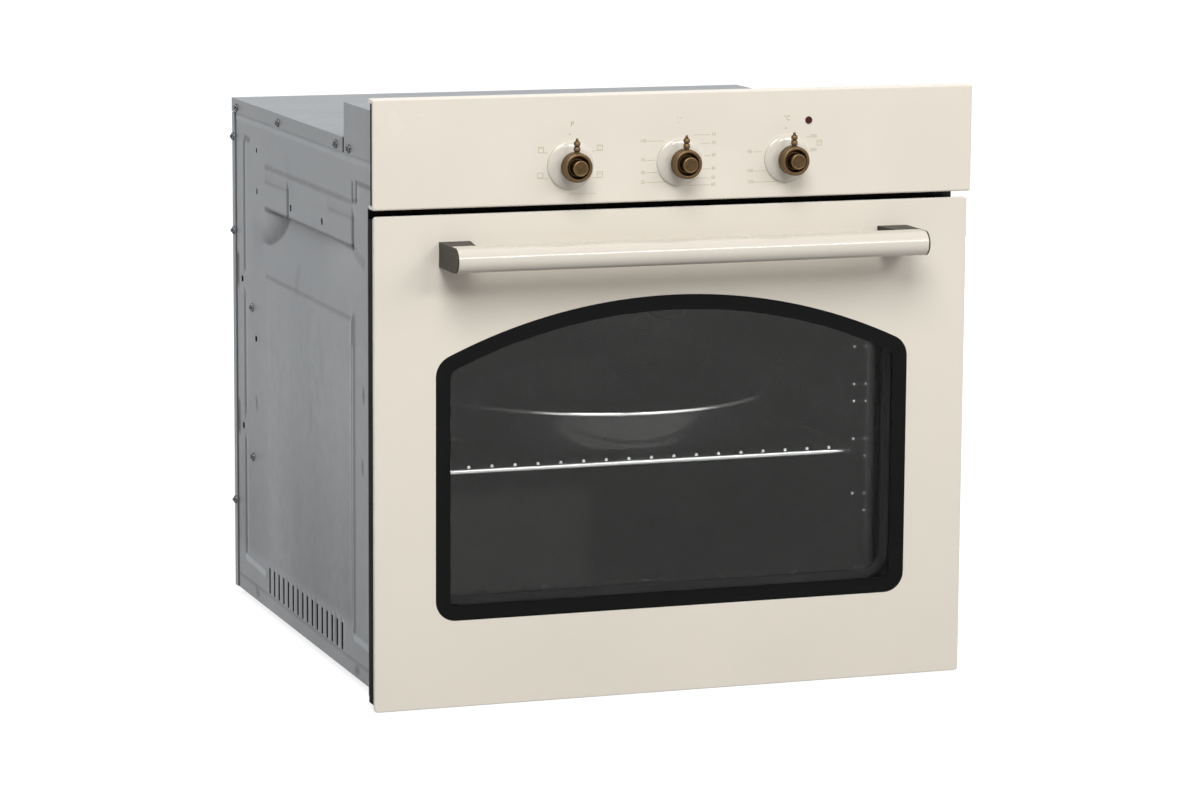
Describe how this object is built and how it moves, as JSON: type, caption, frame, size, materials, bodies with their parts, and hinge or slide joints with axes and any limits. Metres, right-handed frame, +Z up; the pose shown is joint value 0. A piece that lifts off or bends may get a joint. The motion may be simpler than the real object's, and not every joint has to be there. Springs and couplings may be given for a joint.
{
  "type": "built-in oven",
  "caption": "Built-in electric oven with a cream control panel and knobs, a drop-down glass door with an arched window and a bar handle, and a galvanised case.",
  "frame": {"origin": "middle of the base's underside: centre of the width, halfway along the body's depth, at the base's lower face", "axes": "+X to the right seen from the front, +Y to the back, +Z up; the door and the knobs face -Y"},
  "size_m": [0.595, 0.6451, 0.572],
  "materials": {
    "galvanised": "matt zinc",
    "cream_paint": "satin",
    "bronze_knob": "satin bronze",
    "bronze_bracket": "satin bronze",
    "printed_glass": "printed, polished",
    "clear_glass": "polished",
    "black_paint": "satin",
    "enamel": "glossy enamel",
    "wire_chrome": "polished",
    "element_steel": "oxidised",
    "seal_rubber": "matt",
    "mineral_wool": "fibrous",
    "lens_glass": "polished",
    "lamp_red": "polished",
    "black_plastic": "matt",
    "ceramic": "matt",
    "screw_steel": "zinc plated",
    "fan_metal": "mill",
    "tray_enamel": "glossy enamel",
    "hinge_steel": "zinc plated"
  },
  "bodies": {
    "oven_body": {"base_plate": "galvanised", "left_side_panel": "galvanised", "right_side_panel": "galvanised", "rear_panel": "galvanised", "top_cover": "galvanised", "control_cover": "galvanised", "rear_brace": "galvanised", "duct_plate": "galvanised", "control_tray": "galvanised", "cover_screws": "screw_steel", "side_screws": "screw_steel", "rear_screws": "screw_steel", "front_frame": "enamel", "cavity_shell": "enamel", "cavity_rear_wall": "enamel", "door_gasket": "seal_rubber", "insulation_blanket": "mineral_wool", "upper_heater": "element_steel", "lower_heater": "element_steel", "left_side_rack": "wire_chrome", "right_side_rack": "wire_chrome", "lamp_holder": "ceramic", "lamp_lens": "lens_glass", "thermostat_bulb": "element_steel", "fan_housing": "galvanised", "fan_motor": "black_plastic", "cable_gland": "black_plastic", "terminal_block": "ceramic", "control_panel": "cream_paint", "left_bezel": "cream_paint", "middle_bezel": "cream_paint", "right_bezel": "cream_paint", "indicator_lens": "lamp_red", "function_switch": "black_plastic", "timer": "black_plastic", "thermostat": "black_plastic", "left_hinge_arm": "hinge_steel", "right_hinge_arm": "hinge_steel", "left_hinge_receiver": "hinge_steel", "right_hinge_receiver": "hinge_steel"},
    "door": {"outer_glass": "printed_glass", "inner_glass": "clear_glass", "left_stile": "black_paint", "right_stile": "black_paint", "door_top_rail": "black_paint", "door_bottom_rail": "black_paint", "handle_bar": "cream_paint", "left_handle_bracket": "bronze_bracket", "right_handle_bracket": "bronze_bracket", "handle_screws": "screw_steel", "hinge_pins": "hinge_steel"},
    "function_control": {"function_knob": "bronze_knob", "function_spindle": "hinge_steel"},
    "timer_control": {"timer_knob": "bronze_knob", "timer_spindle": "hinge_steel"},
    "thermostat_control": {"thermostat_knob": "bronze_knob", "thermostat_spindle": "hinge_steel"},
    "shelf": {"wire_rack": "wire_chrome", "round_tray": "tray_enamel"},
    "cooling_rotor": {"fan_rotor": "fan_metal"}
  },
  "joints": [
    {"name": "door_hinge", "type": "hinge", "parent": "oven_body", "child": "door", "pos_m": [0, -0.2905, 0.0065], "axis": [1, 0, 0], "range_deg": [0, 90], "stiffness_Nm_per_rad": 6, "springref_deg": -22.92},
    {"name": "function_turn", "type": "hinge", "parent": "oven_body", "child": "function_control", "pos_m": [-0.1075, -0.3, 0.4995], "axis": [0, 1, 0], "continuous": true},
    {"name": "timer_turn", "type": "hinge", "parent": "oven_body", "child": "timer_control", "pos_m": [0, -0.3, 0.4995], "axis": [0, 1, 0], "range_deg": [0, 320]},
    {"name": "thermostat_turn", "type": "hinge", "parent": "oven_body", "child": "thermostat_control", "pos_m": [0.1075, -0.3, 0.4995], "axis": [0, 1, 0], "range_deg": [0, 290]},
    {"name": "shelf_slide", "type": "slide", "parent": "oven_body", "child": "shelf", "axis": [0, -1, 0], "range_m": [0, 0.03]},
    {"name": "fan_spin", "type": "hinge", "parent": "oven_body", "child": "cooling_rotor", "pos_m": [0, -0.1, 0.456], "axis": [1, 0, 0], "continuous": true}
  ]
}
